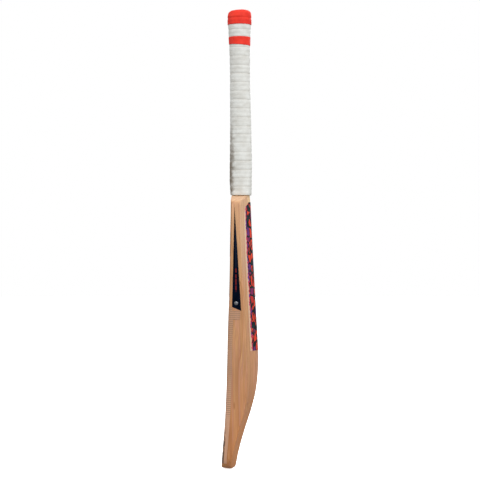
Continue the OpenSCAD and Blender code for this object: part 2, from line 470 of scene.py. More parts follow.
@dataclass(frozen=True)
class Grain:
    """One willow cleft's grain as colour and relief, with some painted light and shade.

    The growth rings stand almost square to the face, so they are long straight lines on the
    face and the back, and only one or two wander along each edge. A span gives two values:
    where a tint starts and where it is full.
    """

    blade: Span = (mm(-696), mm(-178))
    # Tone by height, lighter towards the shoulder: partly the wood's own tone, partly painted
    # light from above.
    heights: Stops = (
        (0.0, "#BA7B4C"), (0.14, "#BA7F54"), (0.42, "#B98861"), (0.7, "#BB8962"),
        (0.92, "#C89A74"))
    drift: tuple[float, float, float] = (mm(26), mm(26), 0.0)
    across_rings: tuple[float, float, float] = (1.0, 0.32, 0.012)
    ring_spacing: float = 9.5
    ring_profile: Stops = (
        (0.0, "#3A3A3A"), (0.03, "#000000"), (0.55, "#0A0A0A"), (0.9, "#9A9A9A"),
        (0.97, "#FFFFFF"), (1.0, "#3A3A3A"))
    late_wood: str = "#9A6238"
    fleck: str = "#8A5530"
    pink: str = "#BE8B76"
    straw: str = "#CBA070"
    heartwood: str = "#A0673F"
    stripe_middle: float = mm(-32)
    stripe_lean: float = 0.033
    stripe_width: Span = (mm(4), mm(1))
    stripe_heights: Span = (mm(-590), mm(-630))
    # Paler where a face turns up: partly end grain, partly painted light from above.
    end_grain_and_top_light: str = "#E4C8AA"
    facing_up: Span = (0.5, 0.8)
    facing_back: Span = (0.3, 0.7)
    facing_front: Span = (-0.25, -0.6)
    # Painted light: paler on the surfaces facing the back, high up the blade.
    painted_flank_light: str = "#E0C3A6"
    flank_light_heights: Span = (mm(-370), mm(-290))
    # Painted light: warmer and brighter on the surfaces facing the back near the toe.
    painted_toe_light: str = "#D58C4E"
    toe_light_heights: Span = (mm(-560), mm(-620))
    # Painted shade: darker on the rounded corners of the face above the sheet.
    painted_corner_shade: str = "#8A5A3A"
    corner_shade_sides: Span = (mm(49), mm(50.5))
    corner_shade_heights: Span = (mm(-400), mm(-370))
    # Painted shade: dark brown along the corners of the face near the toe.
    painted_toe_shade: str = "#4A3628"
    toe_shade_sides: Span = (mm(49.8), mm(51))
    toe_shade_lean: float = -0.085
    toe_shade_depth: Span = (mm(34.2), mm(32.2))
    toe_shade_heights: Span = (mm(-612), mm(-640))
    toe_shade_foot: Span = (mm(-694), mm(-685))
    toe_shade_breakup: Span = (0.3, 0.45)

    def paint(self, tree: Tree, spot: Socket) -> tuple[Socket, Socket]:
        """Draws the grain.

        Args:
            tree: The material's nodes.
            spot: A point of the wood, in metres.

        Returns:
            The colour and the height of the relief, from 0 to 1.
        """
        at = add(tree, APART, {0: spot}).node.outputs
        toe, shoulder = self.blade
        along = add(tree, RANGE, {VALUE: at["Z"], START: toe, END: shoulder})
        # the tone by height: partly painted light from above
        colour = add(tree, RAMP, {0: along}, stops=self.heights)

        cloudy = stretched(tree, spot, 55, 300, out="Color")
        moved = add(tree, VECTOR, {0: cloudy, 1: self.drift, 2: spot}, **TIMES_PLUS)
        ringed = add(tree, VECTOR, {0: moved, 1: self.across_rings}, "Value",
                     operation="DOT_PRODUCT")
        rings = add(tree, MATH, {0: ringed, 1: per(self.ring_spacing)}, **TIMES)
        ring = add(tree, MATH, {0: rings}, operation="FRACT")
        late = add(tree, RAMP, {0: ring}, stops=self.ring_profile)

        streak = stretched(tree, moved, 3.2, 210)
        fibre = stretched(tree, moved, 1.3, 80)
        cloud = stretched(tree, spot, 22, 60)
        colour = tint(tree, colour, self.pink, 0.55, (streak, 0.5, 0.68))
        colour = tint(tree, colour, self.straw, 0.5, (streak, 0.5, 0.32))
        lines = add(tree, MATH, {0: late, 1: 0.6}, **TIMES)
        colour = tint(tree, colour, self.late_wood, lines)
        colour = self.heart_stripe(tree, at, colour)
        fine = add(tree, RANGE, {VALUE: fibre, **SPREAD, LEAST: 0.88, MOST: 1.1}, **SMOOTH)
        broad = add(tree, RANGE, {VALUE: cloud, **SPREAD, LEAST: -0.05, MOST: 0.05}, **SMOOTH)
        shade = add(tree, MATH, {0: fine, 1: broad}, operation="ADD")
        colour = add(tree, VECTOR, {0: colour, "Scale": shade}, operation="SCALE")

        mark = stretched(tree, moved, 19, 75, CELLS, "Distance")
        colour = tint(tree, colour, self.fleck, 0.5, (mark, 0.13, 0.05))
        colour = self.faces(tree, at, colour)
        fibres = add(tree, MATH, {0: fibre, 1: 0.6}, **TIMES)
        relief = add(tree, MATH, {0: late, 1: 0.25, 2: fibres}, **TIMES_PLUS)
        return colour, relief

    def faces(self, tree: Tree, at: Mapping[str, Socket], colour: Socket) -> Socket:
        """Tints the wood by which way each face turns: its cut, and painted light and shade.

        The shoulders are paler, partly end grain and partly painted light from above. The back
        has painted light, paler high up and warmer near the toe, and the corners of the face
        have painted shade, darker above the sheet.

        Args:
            tree: The material's nodes.
            at: The point's own coordinates, in metres.
            colour: The colour below.

        Returns:
            The tinted colour.
        """
        normal = add(tree, "ShaderNodeNewGeometry", out="True Normal")
        facing = add(tree, APART, {0: normal}).node.outputs
        side = add(tree, MATH, {0: at["X"]}, operation="ABSOLUTE")
        back = (facing["Y"], *self.facing_back)
        tints = (
            # upward faces: end grain and painted light from above
            (self.end_grain_and_top_light, 0.32, ((facing["Z"], *self.facing_up),)),
            # painted light on the back, high up
            (self.painted_flank_light, 0.24, (back, (at["Z"], *self.flank_light_heights))),
            # painted light on the back near the toe
            (self.painted_toe_light, 0.3, (back, (at["Z"], *self.toe_light_heights))),
            # painted shade on the face's corners
            (self.painted_corner_shade, 0.55, ((facing["Y"], *self.facing_front), (side, *self.corner_shade_sides),
                                  (at["Z"], *self.corner_shade_heights))),
        )
        for tone, most, limits in tints:
            colour = tint(tree, colour, tone, most, *limits)
        return colour

    def heart_stripe(self, tree: Tree, at: Mapping[str, Socket], colour: Socket) -> Socket:
        """Lays the browner stripe of heartwood along the foot of the edge.

        Args:
            tree: The material's nodes.
            at: The point's own coordinates, in metres.
            colour: The colour below.

        Returns:
            The colour with the stripe.
        """
        lean = add(tree, MATH, {0: at["Z"], 1: self.stripe_lean, 2: at["Y"]}, **TIMES_PLUS)
        from_middle = add(tree, MATH, {0: lean, 1: self.stripe_middle}, operation="SUBTRACT")
        away = add(tree, MATH, {0: from_middle}, operation="ABSOLUTE")
        return tint(tree, colour, self.heartwood, 0.55, (away, *self.stripe_width),
                    (at["Z"], *self.stripe_heights))

    def shade_toe_corners(self, tree: Tree, spot: Socket, colour: Socket) -> Socket:
        """Lays painted shade along the corners of the face near the toe.

        Args:
            tree: The material's nodes.
            spot: A point of the surface, in metres.
            colour: The colour below.

        Returns:
            The colour with the painted shade.
        """
        at = add(tree, APART, {0: spot}).node.outputs
        side = add(tree, MATH, {0: at["X"]}, operation="ABSOLUTE")
        lean = add(tree, MATH, {0: at["Z"], 1: self.toe_shade_lean, 2: at["Y"]}, **TIMES_PLUS)
        # painted shade along the face's corners near the toe, broken up by noise
        return tint(
            tree, colour, self.painted_toe_shade, 0.9, (side, *self.toe_shade_sides), (lean, *self.toe_shade_depth),
            (at["Z"], *self.toe_shade_heights), (at["Z"], *self.toe_shade_foot),
            (stretched(tree, spot, 5, 12), *self.toe_shade_breakup))


@dataclass(frozen=True)
class Willow(Finish):
    """English willow, planed, sanded and waxed: warm straight grain under a low soft sheen."""

    name: str = "English willow, sanded and waxed"
    grain: Grain = Grain()

    def surface(self, tree: Tree, spot: Socket) -> Socket:
        """Builds the shader."""
        colour, relief = self.grain.paint(tree, spot)
        # painted shade on the face's corners near the toe
        colour = self.grain.shade_toe_corners(tree, spot, colour)
        patch = stretched(tree, spot, 9, 30)
        sheen = add(tree, RANGE, {VALUE: patch, **SPREAD, LEAST: 0.42, MOST: 0.55}, **SMOOTH)
        return shader(tree, colour, relief, mm(0.05), sheen, IOR=1.45, Specular_IOR_Level=0.16)


@dataclass(frozen=True)
class Cane(Finish):
    """Manau cane, split and planed: straw colour, with long dark vessels that end in pores."""

    name: str = "Manau cane, split and planed"
    streaks: Stops = ((0.3, "#D2A878"), (0.7, "#E3C195"))
    dark: str = "#A9794A"

    def surface(self, tree: Tree, spot: Socket) -> Socket:
        """Builds the shader."""
        vessels = stretched(tree, spot, 1.1, 90, CELLS, "Distance")
        base = add(tree, RAMP, {0: stretched(tree, spot, 3.5, 120)}, stops=self.streaks)
        colour = tint(tree, base, self.dark, 0.7, (vessels, 0.3, 0.1))
        return shader(tree, colour, vessels, mm(0.08), 0.5, IOR=1.5)


@dataclass(frozen=True)
class BlackRubber(Finish):
    """Cut rubber strip: near black and matt, with a fine dusty bloom."""

    name: str = "cut rubber strip"
    bloom: Stops = ((0.35, "#1E1E22"), (0.75, "#3A3A3E"))

    def surface(self, tree: Tree, spot: Socket) -> Socket:
        """Builds the shader."""
        dust = stretched(tree, spot, 1.5, 3)
        colour = add(tree, RAMP, {0: dust}, stops=self.bloom)
        return shader(tree, colour, dust, mm(0.05), 0.75, IOR=1.5)


@dataclass(frozen=True)
class Twine(Finish):
    """Waxed linen twine, wound turn against turn: fine level ridges with a dull gloss.

    The colour darkens into the creases between turns: painted shade.
    """

    name: str = "waxed linen twine, wound"
    pitch: float = 0.9
    linen: Stops = ((0.0, "#8E8260"), (0.5, "#D6CBB0"))

    def surface(self, tree: Tree, spot: Socket) -> Socket:
        """Builds the shader."""
        turn = ripple(tree, add(tree, APART, {0: spot}, "Z"), self.pitch)
        ridge = add(tree, MATH, {0: turn, 1: 2.0}, **TIMES)
        fibre = stretched(tree, spot, 2.5, 0.3)
        hairs = add(tree, RANGE, {VALUE: fibre, **SPREAD, LEAST: 0.6}, **SMOOTH)
        mixed = add(tree, MATH, {0: ridge, 1: hairs}, **TIMES)
        # darker towards the creases between turns: painted shade, with the fibres' own tone
        colour = add(tree, RAMP, {0: mixed}, stops=self.linen)
        return shader(tree, colour, ridge, mm(0.3), 0.6, IOR=1.5)


@dataclass(frozen=True)
class GripRubber(Finish):
    """Moulded grip rubber: matt and soft at its edges; grime and painted shade in the grooves.

    The fine ribs are 2 mm apart on a real grip. Here they are wider, so that they show.
    """

    name: str = "white moulded grip rubber"
    clean: str = "#D5D6D2"
    worn: str = "#C6C5BF"
    grime_and_groove_shade: str = "#ABA69A"
    # A darker brown patch on the front of the lower grip.
    front_dark_patch: str = "#685A4A"
    front_patch_heights: Span = (mm(20), mm(-105))
    front_patch_reach: Span = (mm(0), mm(-10))
    front_patch_share: float = 0.0
    rib_pitch: float = 3.1
    rib_wander: float = mm(1.5)
    gloss: float = 0.3

    def surface(self, tree: Tree, spot: Socket) -> Socket:
        """Builds the shader."""
        at = add(tree, APART, {0: spot}).node.outputs
        cloud = stretched(tree, spot, 14, 9)
        speck = stretched(tree, spot, 1.6, 1.2)
        groove = add(tree, "ShaderNodeAttribute", out="Fac", attribute_name="groove")
        base = add(tree, RAMP, {0: cloud}, stops=((0.3, self.worn), (0.65, self.clean)))
        dusty = add(tree, RANGE, {VALUE: speck, **SPREAD, LEAST: 0.35, MOST: 0.8}, **SMOOTH)
        # darker where the grooves are deep: grime and painted shade
        held = add(tree, MATH, {0: groove, 1: dusty}, **TIMES)
        colour = tint(tree, base, self.grime_and_groove_shade, held)
        # darker brown on the front of the lower grip
        if self.front_patch_share:
            height = add(tree, MATH, {0: cloud, 1: mm(50), 2: at["Z"]}, **TIMES_PLUS)
            patchy = add(tree, MATH, {0: cloud, 1: mm(14), 2: at["Y"]}, **TIMES_PLUS)
            colour = tint(tree, colour, self.front_dark_patch, self.front_patch_share,
                          (height, *self.front_patch_heights), (patchy, *self.front_patch_reach))
        wander = add(tree, MATH, {0: cloud, 1: self.rib_wander, 2: at["Z"]}, **TIMES_PLUS)
        rib = ripple(tree, wander, self.rib_pitch)
        relief = add(tree, MATH, {0: speck, 1: 0.25, 2: rib}, **TIMES_PLUS)
        return shader(tree, colour, relief, mm(0.12), 0.62, IOR=1.5,
                      Specular_IOR_Level=self.gloss)


@dataclass(frozen=True)
class FibreSheet(Finish):
    """Clear film with woven fibre threads, stuck over willow: paler, glossy and finely lined."""

    name: str = "clear face film with fibre threads"
    grain: Grain = Grain()
    haze: str = "#AA846A"
    low_haze: str = "#C9A68E"
    haze_share: float = 0.45
    haze_heights: Span = (mm(-480), mm(-610))
    thread: str = "#8A6A52"
    thread_width: Span = (0.3, 0.06)
    thread_heights: Span = (mm(-600), mm(-585))
    pitch: float = 3.8
    top: float = mm(-389)

    def surface(self, tree: Tree, spot: Socket) -> Socket:
        """Builds the shader."""
        wood, relief = self.grain.paint(tree, spot)
        up = add(tree, APART, {0: spot}, "Z")
        below = add(tree, MATH, {0: self.top, 1: up}, operation="SUBTRACT")
        turn = ripple(tree, below, self.pitch)
        patch = stretched(tree, spot, 12, 25)
        worn = add(tree, RANGE, {VALUE: patch, **SPREAD, LEAST: 0.45, MOST: 0.9}, **SMOOTH)
        haze = tint(tree, self.haze, self.low_haze, 1.0, (up, *self.haze_heights))
        colour = tint(tree, wood, haze, self.haze_share)
        colour = tint(tree, colour, self.thread, worn,
                      (turn, *self.thread_width), (up, *self.thread_heights))
        # painted shade on the face's corners near the toe
        colour = self.grain.shade_toe_corners(tree, spot, colour)
        return shader(tree, colour, relief, mm(0.02), 0.3, IOR=1.5, Coat_Weight=0.3,
                      Coat_Roughness=0.15)


@dataclass(frozen=True)
class BackLabel(Finish):
    """Printed clear vinyl: glossy, with ragged flame shapes in red and purple, edged in black."""

    name: str = "printed clear vinyl"
    grain: Grain = Grain()
    inks: Stops = (
        (0.0, "#662A70"), (0.16, "#D83A24"), (0.5, "#E64528"), (0.78, "#B92B2A"), (0.9, "#7E2458"))
    soots: tuple[str, str] = ("#0A0C12", "#10292D")
    splashes: tuple[str, str] = ("#6B2C86", "#C23A55")
    film: str = "#E2C8AE"
    warp: tuple[float, float, float] = (mm(11), 0.0, mm(14))
    cell_scale: tuple[float, float, float] = (per(10), 0.0, per(16))
    slant: float = math.radians(16)
    print_half_width: float = mm(28.5)
    tear: float = mm(13)
    soot_inset: float = mm(5.2)
    splash_inset: float = mm(3.8)
    blur: float = mm(0.3)

    def surface(self, tree: Tree, spot: Socket) -> Socket:
        """Builds the shader."""
        wood, _ = self.grain.paint(tree, spot)
        warp = add(tree, NOISE, {"Vector": spot, "Scale": per(11), "Detail": 1.0}).node.outputs
        flat = add(tree, VECTOR, {0: warp["Color"], 1: self.warp, 2: spot}, **TIMES_PLUS)
        squeezed = add(tree, "ShaderNodeMapping", {
            "Vector": flat, "Scale": self.cell_scale, "Rotation": (0, self.slant, 0)})
        cell = add(tree, CELLS, {"Vector": squeezed, "Scale": 1.0}, "Color")
        border = add(tree, CELLS, {"Vector": squeezed, "Scale": 1.0}, "Distance",
                     feature="DISTANCE_TO_EDGE")
        ink = add(tree, RAMP, {0: add(tree, APART, {0: cell})}, stops=self.inks)
        ink.node.color_ramp.interpolation = "CONSTANT"
        soot = tint(tree, *self.soots, 1.0, (warp["Fac"], 0.5, 0.62))
        splash = tint(tree, *self.splashes, 1.0, (warp["Fac"], 0.44, 0.5))
        dark = where(tree, 1.0, (border, 0.14, 0.1))
        colour = tint(tree, ink, soot, dark)
        torn = add(tree, NOISE, {"Vector": spot, "Scale": per(4.5), "Detail": 3.0}, "Fac")
        side = add(tree, MATH, {0: add(tree, APART, {0: spot}, "X")}, operation="ABSOLUTE")
        ragged = add(tree, MATH, {0: torn, 1: self.tear, 2: -self.tear / 2}, **TIMES_PLUS)
        reach = add(tree, MATH, {0: side, 1: ragged}, operation="ADD")
        film = tint(tree, wood, self.film, 0.5)
        for inset, layer in ((self.soot_inset, soot), (self.splash_inset, splash), (0.0, film)):
            edge = self.print_half_width - inset
            colour = tint(tree, colour, layer, 1.0, (reach, edge - self.blur, edge + self.blur))
        raised = add(tree, MATH, {0: 1.0, 1: dark}, operation="SUBTRACT")
        return shader(tree, colour, raised, mm(0.03), 0.35, IOR=1.5, Specular_IOR_Level=0.06)


class Motif(Enum):
    """What is printed on a navy label."""

    DASHES = "red dashes along the middle"
    CHEVRONS = "silver and red chevrons"


@dataclass(frozen=True)
class NavyLabel(Finish):
    """Printed navy vinyl: very dark blue under a thin gloss, with a plain motif."""

    name: str = "printed navy vinyl"
    motif: Motif = Motif.DASHES
    blues: Stops = ((0.35, "#030814"), (0.7, "#061022"))
    row: float = mm(1.1)
    thread: str = "#3A4258"
    thread_width: Span = (mm(0.7), mm(0.3))
    thread_heights: Span = (mm(-330), mm(-300))
    dash: str = "#702426"
    dash_width: Span = (mm(1.5), mm(1.1))
    dash_gaps: Span = (0.4, 0.47)
    dash_bottom: Span = (mm(-360), mm(-358))
    dash_top: Span = (mm(-314), mm(-318))
    chevron_pitch: float = 24.0
    chevron_slope: float = 0.9
    chevron_bands: tuple[tuple[float, float, str], ...] = (
        (0.61, 0.85, "#D8402E"), (0.91, 0.97, "#B9BBBD"))
    blur: float = 0.01

    def surface(self, tree: Tree, spot: Socket) -> Socket:
        """Builds the shader."""
        cloud = stretched(tree, spot, 5, 14)
        base = add(tree, RAMP, {0: cloud}, stops=self.blues)
        printed = self.dashes if self.motif is Motif.DASHES else self.chevrons
        return shader(tree, printed(tree, spot, base), cloud, mm(0.02), 0.35, IOR=1.5,
                      Specular_IOR_Level=0.02)

    def dashes(self, tree: Tree, spot: Socket, base: Socket) -> Socket:
        """Prints a row of red dashes along the middle, below a thin pale thread.

        Args:
            tree: The material's nodes.
            spot: A point of the surface, in metres.
            base: The colour below.

        Returns:
            The printed colour.
        """
        at = add(tree, APART, {0: spot}).node.outputs
        off = add(tree, MATH, {0: at["Y"], 1: self.row}, operation="ADD")
        away = add(tree, MATH, {0: off}, operation="ABSOLUTE")
        colour = tint(tree, base, self.thread, 0.5,
                      (away, *self.thread_width), (at["Z"], *self.thread_heights))
        return tint(
            tree, colour, self.dash, 1.0, (stretched(tree, spot, 60, 5.2), *self.dash_gaps),
            (away, *self.dash_width), (at["Z"], *self.dash_bottom), (at["Z"], *self.dash_top))

    def chevrons(self, tree: Tree, spot: Socket, base: Socket) -> Socket:
        """Prints chevrons, each a red band over a thin silver line.

        Args and Returns: As for dashes().
        """
        at = add(tree, APART, {0: spot}).node.outputs
        side = add(tree, MATH, {0: at["X"]}, operation="ABSOLUTE")
        slope = add(tree, MATH, {0: side, 1: self.chevron_slope, 2: at["Z"]}, **TIMES_PLUS)
        beats = add(tree, MATH, {0: slope, 1: per(self.chevron_pitch)}, **TIMES)
        beat = add(tree, MATH, {0: beats}, operation="FRACT")
        colour, blur = base, self.blur
        for start, end, ink in self.chevron_bands:
            colour = tint(tree, colour, ink, 1.0, (beat, start - blur, start + blur),
                          (beat, end + blur, end - blur))
        return colour


@dataclass(frozen=True)
class SilverFoil(Finish):
    """Domed foil badge: bright metal with fine turned lines under a clear dome."""

    name: str = "domed silver foil"
    metal: Stops = ((0.3, "#707276"), (0.7, "#7E8084"))

    def surface(self, tree: Tree, spot: Socket) -> Socket:
        """Builds the shader."""
        turned = stretched(tree, spot, 0.5, 0.5)
        colour = add(tree, RAMP, {0: turned}, stops=self.metal)
        return shader(tree, colour, turned, mm(0.004), 0.28, Metallic=1.0, Coat_Weight=0.5)


# ---- the bat


LEVEL = mm(0.05)            # a point this close to a height is on it


@dataclass
class Blade:
    """The willow blade with its face sheet."""

    smoothing: float = 38.0
    sheet_thickness: float = mm(0.35)
    thread_pitch: float = mm(3.8)
    thread_width: float = mm(1.3)
    thread_height: float = mm(0.16)
    thread_top: float = mm(-391)
    thread_bottom: float = mm(-606)

    def build(self) -> None:
        """Makes the blade and its sheet."""
        self.willow()
        self.face_sheet()

    def willow(self) -> None:
        """The cleft itself, with its rounded arrises shaded smooth."""
        piece = copy_node("blade", "blade_willow")
        smooth(piece, self.smoothing)
        hand_over(piece, "blade", Willow().material())

    def face_sheet(self) -> None:
        """The clear sheet over the face, with its cross threads raised on it."""
        def outside(middle: Vector, normal: Vector) -> bool:
            return normal.y < -OUTWARD or normal.x * math.copysign(1, middle.x) > OUTWARD

        piece = peel("face_sheet", "face_sheet_film", outside)
        count = round((self.thread_top - self.thread_bottom) / self.thread_pitch)
        threads = [self.thread_top - i * self.thread_pitch for i in range(count)]
        with editing(piece):
            cut_level(thread + offset * self.thread_width
                      for thread in threads for offset in (-0.5, 0.0, 0.5))
            pick(piece, Part.POINTS,
                 lambda point: any(abs(point.co.z - t) < LEVEL for t in threads))
            bpy.ops.transform.shrink_fatten(value=self.thread_height)
        work(piece, "SOLIDIFY", thickness=self.sheet_thickness, offset=-1.0)
        smooth(piece, self.smoothing)
        hand_over(piece, "face_sheet", FibreSheet().material())


@dataclass
class Handle:
    """The spliced cane handle with its springs and twine, which keep the model's own shape."""

    slips: tuple[str, ...] = ("front", "inner_front", "inner_back", "back")
    columns: tuple[str, ...] = ("left", "middle", "right")
    springs: tuple[str, ...] = ("front", "middle", "back")

    def build(self) -> None:
        """Dresses the canes, the springs and the twine."""
        cane = Cane().material()
        for slip in self.slips:
            for column in self.columns:
                self.dress(f"cane_{slip}_{column}", cane)
        rubber = BlackRubber().material()
        for place in self.springs:
            self.dress(f"spring_{place}", rubber)
        self.dress("handle_twine", Twine().material())

    def dress(self, node: str, material: bpy.types.Material) -> None:
        """Gives a node of the model its material."""
        mesh = frame["nodes"][node].data
        mesh.materials.clear()
        mesh.materials.append(material)
        log.info("%s: %s", node, material.name)


@dataclass
class Grip:
    """The rubber sleeve and its two red bands.

    The sleeve is wound in laps. A lap's profile gives, for each share of its pitch, its
    relief in millimetres.
    """

    sides: int = 48
    reach: float = mm(25)
    wall: float = mm(1.8)
    lap_pitch: float = mm(16.7)
    lap: tuple[Span, ...] = (
        (0.0, -0.4), (0.06, -0.15), (0.14, 0.12), (0.3, 0.24), (0.42, 0.14), (0.5, 0.0),
        (0.56, 0.08), (0.66, 0.24), (0.82, 0.24), (0.94, -0.05))
    lap_tilt: float = 0.9
    pitch_spread: Span = (0.92, 1.08)
    swell_spread: Span = (0.75, 1.2)
    least_lap: float = 0.3
    rim_clearance: float = mm(1.5)
    steady_end: float = mm(10)
    rim_relief: float = -0.3
    under_band: float = -0.4
    groove_top: float = 0.05
    groove_depth: float = 0.8
    sleeve_lump: Span = (mm(11), mm(0.55))
    band_lump: Span = (mm(9), mm(0.5))
    smoothing: float = 60.0
    end_cuts: Span = (mm(1), mm(7))
    end_groove: float = mm(12.5)
    end_groove_half: float = mm(2)
    end_groove_inside: float = mm(17)
    end_groove_pull: float = 0.955
    flare: float = 1.05
    flare_height: float = mm(6)
    flare_inside: float = mm(15)
    end_tilt: float = 3.0
    end_tilt_height: float = mm(9)
    ring_cut: float = mm(1.5)
    ring_tilt: float = 4.0
    ring_tilt_heights: Span = (mm(-1), mm(3))
    seed: int = 7
    red: GripRubber = GripRubber(
        name="red grip rubber", clean="#E53827", worn="#D12A1D", grime_and_groove_shade="#98130F",
        gloss=0.2)

    def build(self) -> None:
        """Makes the sleeve and the bands."""
        self.sleeve()
        self.end_band()
        self.ring_band()

    def lap_rings(self, low: float, high: float) -> list[tuple[float, float, float, float]]:
        """Works out the rings of the sleeve from its bottom to its top.

        Args:
            low: Height of the bottom.
            high: Height of the top.

        Returns:
            Each ring's height, relief in millimetres, and tilt to the side and to the front.
        """
        chance = random.Random(self.seed)
        bands = (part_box("grip_end_band"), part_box("grip_ring_band"))
        rings, height = [], low
        while height < high - self.lap_pitch * self.least_lap:
            pitch = self.lap_pitch * chance.uniform(*self.pitch_spread)
            swell = chance.uniform(*self.swell_spread)
            side, front = (chance.uniform(-self.lap_tilt, self.lap_tilt) for _ in range(2))
            for share, relief in self.lap:
                at = height + share * pitch
                if at < high - self.rim_clearance:
                    steady = min(1.0, (at - low) / self.steady_end, (high - at) / self.steady_end)
                    hidden = any(bottom.z < at < top.z for bottom, top in bands)
                    proud = self.under_band if hidden else relief * swell
                    rings.append((at, proud, side * steady, front * steady))
            height += pitch
        return [*rings, (high, self.rim_relief, 0.0, 0.0)]

    def sleeve(self) -> None:
        """The white sleeve: a tube drawn up ring by ring, wrapped on the handle and ribbed."""
        low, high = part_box("grip")
        rings = self.lap_rings(low.z, high.z)
        drop_selection()
        bpy.ops.mesh.primitive_circle_add(
            vertices=self.sides, radius=self.reach, location=(0, 0, low.z))
        piece = name_new("grip_rubber")
        with editing(piece):
            bpy.ops.mesh.select_mode(type="EDGE")
            bpy.ops.mesh.select_all(action="SELECT")
            last = (low.z, 0.0, 0.0)
            for height, _, side, front in rings[1:]:
                bpy.ops.mesh.extrude_edges_move(
                    TRANSFORM_OT_translate={"value": (0, 0, height - last[0])})
                for axis, turn in (("Y", side - last[1]), ("X", front - last[2])):
                    bpy.ops.transform.rotate(
                        value=math.radians(turn), orient_axis=axis,
                        center_override=(0, 0, height))
                last = (height, side, front)
            bpy.ops.mesh.select_all(action="SELECT")
            bpy.ops.mesh.normals_make_consistent(inside=False)
        work(piece, "SHRINKWRAP", target=frame["nodes"]["grip"])
        # How deep each ring lies, which the rubber darkens as grime and painted shade.
        groove = piece.data.attributes.new("groove", "FLOAT", "POINT")
        for i, (_, relief, _, _) in enumerate(rings):
            for point in range(i * self.sides, (i + 1) * self.sides):
                depth = (self.groove_top - relief) / self.groove_depth
                groove.data[point].value = min(1.0, max(0.0, depth))
        with editing(piece):
            for i, (_, relief, _, _) in enumerate(rings):
                start, end = i * self.sides, (i + 1) * self.sides
                pick(piece, Part.POINTS, lambda point: start <= point.index < end)
                bpy.ops.transform.shrink_fatten(value=mm(relief))
        work(piece, "SUBSURF", levels=1)
        lump(piece, "grip lumps", *self.sleeve_lump)
        work(piece, "SOLIDIFY", thickness=self.wall, offset=-1.0)
        smooth(piece, self.smoothing)
        hand_over(piece, "grip", GripRubber(front_patch_share=0.9).material())

    def finish_band(self, piece: Piece, node: str, name: str) -> None:
        """Rounds a band's facets, gives it its lumps and puts it in place.

        Args:
            piece: The band.
            node: The node of the model that it stands for.
            name: Name of the lumps' texture.
        """
        work(piece, "SUBSURF", levels=2)
        lump(piece, name, *self.band_lump)
        smooth(piece, self.smoothing)
        hand_over(piece, node, self.red.material())

    def tip_up(self, piece: Piece, low: float, high: float, tilt: float) -> None:
        """Tips a band's points between two heights up towards the back of the bat.

        Args:
            piece: The band in edit mode.
            low: The lower height.
            high: The upper height.
            tilt: Angle in degrees.
        """
        pick(piece, Part.POINTS, lambda point: low < point.co.z <= high + mm(1))
        middle = (low + high) / 2
        bpy.ops.transform.rotate(
            value=math.radians(-tilt), orient_axis="X", center_override=(0, 0, middle))

    def end_band(self) -> None:
        """The red band over the rim, pulled in by a groove half way down."""
        low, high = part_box("grip_end_band")
        piece = copy_node("grip_end_band", "grip_end_band_rubber")
        groove = low.z + self.end_groove
        with editing(piece):
            cut_level(low.z + cut for cut in self.end_cuts)
            cut_level(groove + side * self.end_groove_half for side in (-1, 0, 1))
            pull, flare = self.end_groove_pull, self.flare
            pick(piece, Part.POINTS, lambda point: abs(point.co.z - groove) < LEVEL
                 and point.co.xy.length > self.end_groove_inside)
            bpy.ops.transform.resize(value=(pull, pull, 1), center_override=(0, 0, groove))
            pick(piece, Part.POINTS, lambda point: point.co.z > high.z - self.flare_height
                 and point.co.xy.length > self.flare_inside)
            bpy.ops.transform.resize(value=(flare, flare, 1), center_override=(0, 0, high.z))
            self.tip_up(piece, high.z - self.end_tilt_height, high.z, self.end_tilt)
        self.finish_band(piece, "grip_end_band", "end band lumps")

    def ring_band(self) -> None:
        """The narrower red band round the grip, which dips at its lower rim."""
        low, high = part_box("grip_ring_band")
        piece = copy_node("grip_ring_band", "grip_ring_band_rubber")
        with editing(piece):
            cut_level((low.z + self.ring_cut, (low.z + high.z) / 2, high.z - self.ring_cut))
            start, end = self.ring_tilt_heights
            self.tip_up(piece, low.z + start, low.z + end, -self.ring_tilt)
        self.finish_band(piece, "grip_ring_band", "ring band lumps")


